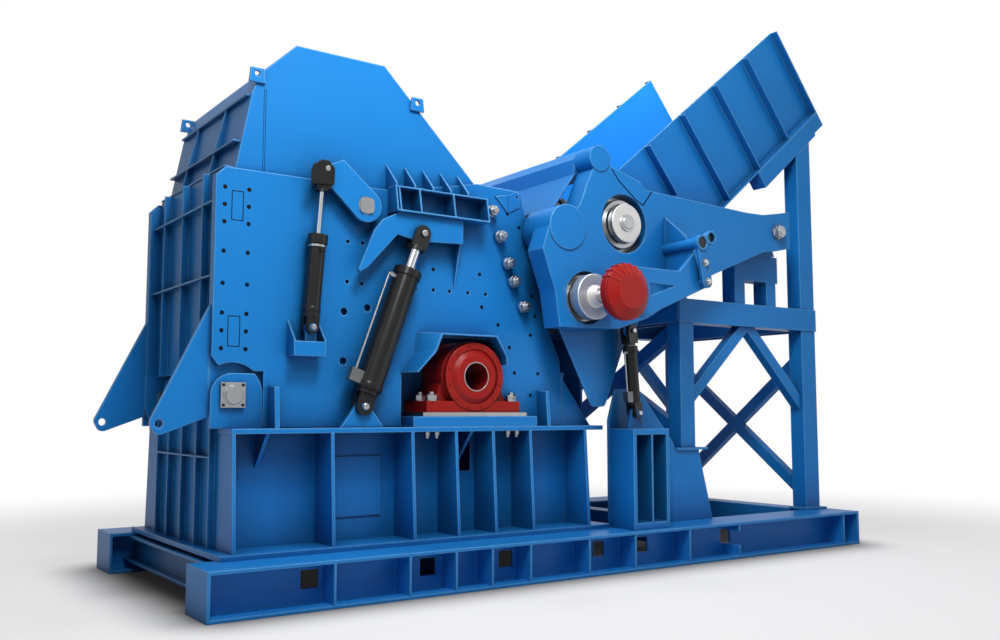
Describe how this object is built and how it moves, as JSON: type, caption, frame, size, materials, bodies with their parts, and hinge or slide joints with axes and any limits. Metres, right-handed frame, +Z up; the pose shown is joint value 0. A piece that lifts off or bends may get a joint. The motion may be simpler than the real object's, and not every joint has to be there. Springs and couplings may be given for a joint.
{
  "type": "metal shredder",
  "caption": "Skid-mounted metal shredder: ribbed lower housing with rotor bearings, hood that swings open on cylinders, pivoting feed rollers and a steep feed chute on a braced frame.",
  "frame": {"origin": "on the floor under the middle of the machine's bounding box", "axes": "+X from the hood's rear end towards the feed chute, +Y to the side away from the viewer, +Z up"},
  "size_m": [8.4497, 4.346, 6.408],
  "materials": {
    "blue_paint": "semi-gloss blue enamel",
    "red_paint": "gloss red enamel",
    "black_paint": "gloss black enamel",
    "rod_chrome": "hard chrome",
    "bare_steel": "machined",
    "worn_steel": "cast, worn bright"
  },
  "bodies": {
    "base": {"skids": "blue_paint", "cross_beams": "blue_paint", "base_plate": "blue_paint", "lower_side_walls": "blue_paint", "lower_stiffeners": "blue_paint", "parting_flange": "blue_paint", "front_cheeks": "blue_paint", "lower_end_walls": "blue_paint", "hinge_lugs": "blue_paint", "hinge_pins": "bare_steel", "bearing_pedestals": "blue_paint", "bearing_soles": "bare_steel", "rotor_bearings": "red_paint", "closing_plates": "blue_paint", "flange_brackets": "blue_paint", "feed_pedestals": "blue_paint", "feed_gussets": "blue_paint", "feed_sill": "blue_paint", "front_posts": "blue_paint", "end_posts": "blue_paint", "support_beams": "blue_paint", "frame_braces": "blue_paint", "pivot_pedestals": "blue_paint", "pivot_pins": "bare_steel", "chute_walls": "blue_paint", "chute_floor": "blue_paint", "chute_bearers": "blue_paint"},
    "hood": {"side_plates": "blue_paint", "hood_plates": "blue_paint", "hood_roof": "blue_paint", "hood_rear_wall": "blue_paint", "rear_arms": "blue_paint", "lifting_lugs": "blue_paint", "latch_plates": "blue_paint", "box_beams": "blue_paint", "consoles": "blue_paint", "bearing_guards": "blue_paint", "gate_cylinder_brackets": "blue_paint"},
    "gate": {"gate_shaft": "bare_steel", "gate_levers": "blue_paint"},
    "feed_unit": {"feed_arms": "blue_paint", "arm_tubes": "blue_paint", "roller_cover": "blue_paint", "arm_guards": "blue_paint", "roller_bearings": "worn_steel", "drive_motors": "red_paint", "torque_arms": "blue_paint"},
    "upper_roller": {"upper_roller": "worn_steel", "upper_roller_shaft": "bare_steel"},
    "lower_roller": {"lower_roller": "worn_steel", "lower_roller_shaft": "bare_steel"},
    "hood_barrels": {"hood_barrels": "black_paint"},
    "hood_rods": {"hood_rods": "rod_chrome"},
    "gate_barrels": {"gate_barrels": "black_paint"},
    "gate_rods": {"gate_rods": "rod_chrome"},
    "feed_barrels": {"feed_barrels": "black_paint"},
    "feed_rods": {"feed_rods": "rod_chrome"}
  },
  "joints": [
    {"name": "hood_hinge", "type": "hinge", "parent": "base", "child": "hood", "pos_m": [-3.57023, 0, 1.725], "axis": [0, -1, 0], "range_deg": [0, 32]},
    {"name": "gate_turn", "type": "hinge", "parent": "hood", "child": "gate", "pos_m": [-2.39223, 0, 3.465], "axis": [0, -1, 0], "range_deg": [0, 40]},
    {"name": "feed_arm_lift", "type": "hinge", "parent": "base", "child": "feed_unit", "pos_m": [2.86277, 0, 3.717], "axis": [0, 1, 0], "range_deg": [0, 12]},
    {"name": "upper_roller_spin", "type": "hinge", "parent": "feed_unit", "child": "upper_roller", "pos_m": [0.42577, 0, 3.551], "axis": [0, 1, 0], "continuous": true},
    {"name": "lower_roller_spin", "type": "hinge", "parent": "feed_unit", "child": "lower_roller", "pos_m": [-0.09123, 0, 2.734], "axis": [0, 1, 0], "continuous": true},
    {"name": "hood_cylinder_swing", "type": "hinge", "parent": "base", "child": "hood_barrels", "pos_m": [-2.42223, 0, 1.632], "axis": [0, -1, 0], "range_deg": [0, 31.91]},
    {"name": "hood_rod_slide", "type": "slide", "parent": "hood_barrels", "child": "hood_rods", "axis": [0.3437, 0, 0.9391], "range_m": [0, 0.63592]},
    {"name": "gate_cylinder_swing", "type": "hinge", "parent": "hood", "child": "gate_barrels", "pos_m": [-2.92123, 0, 2.315], "axis": [0, -1, 0], "range_deg": [0, 2.66]},
    {"name": "gate_rod_slide", "type": "slide", "parent": "gate_barrels", "child": "gate_rods", "axis": [0.0737, 0, 0.9973], "range_m": [-0.34015, 0]},
    {"name": "feed_cylinder_swing", "type": "hinge", "parent": "base", "child": "feed_barrels", "pos_m": [0.63377, 0, 1.574], "axis": [0, -1, 0], "range_deg": [0, 7.23]},
    {"name": "feed_rod_slide", "type": "slide", "parent": "feed_barrels", "child": "feed_rods", "axis": [-0.081, 0, 0.9967], "range_m": [0, 0.53382]}
  ],
  "couplings": [
    {"joint": "hood_cylinder_swing", "follows": "hood_hinge", "ratio": 0.99557},
    {"joint": "hood_rod_slide", "follows": "hood_hinge", "m_per_rad": 1.1368},
    {"joint": "gate_cylinder_swing", "follows": "gate_turn", "ratio": 0.065252},
    {"joint": "gate_rod_slide", "follows": "gate_turn", "m_per_rad": -0.4858},
    {"joint": "feed_cylinder_swing", "follows": "feed_arm_lift", "ratio": 0.59842},
    {"joint": "feed_rod_slide", "follows": "feed_arm_lift", "m_per_rad": 2.544}
  ]
}
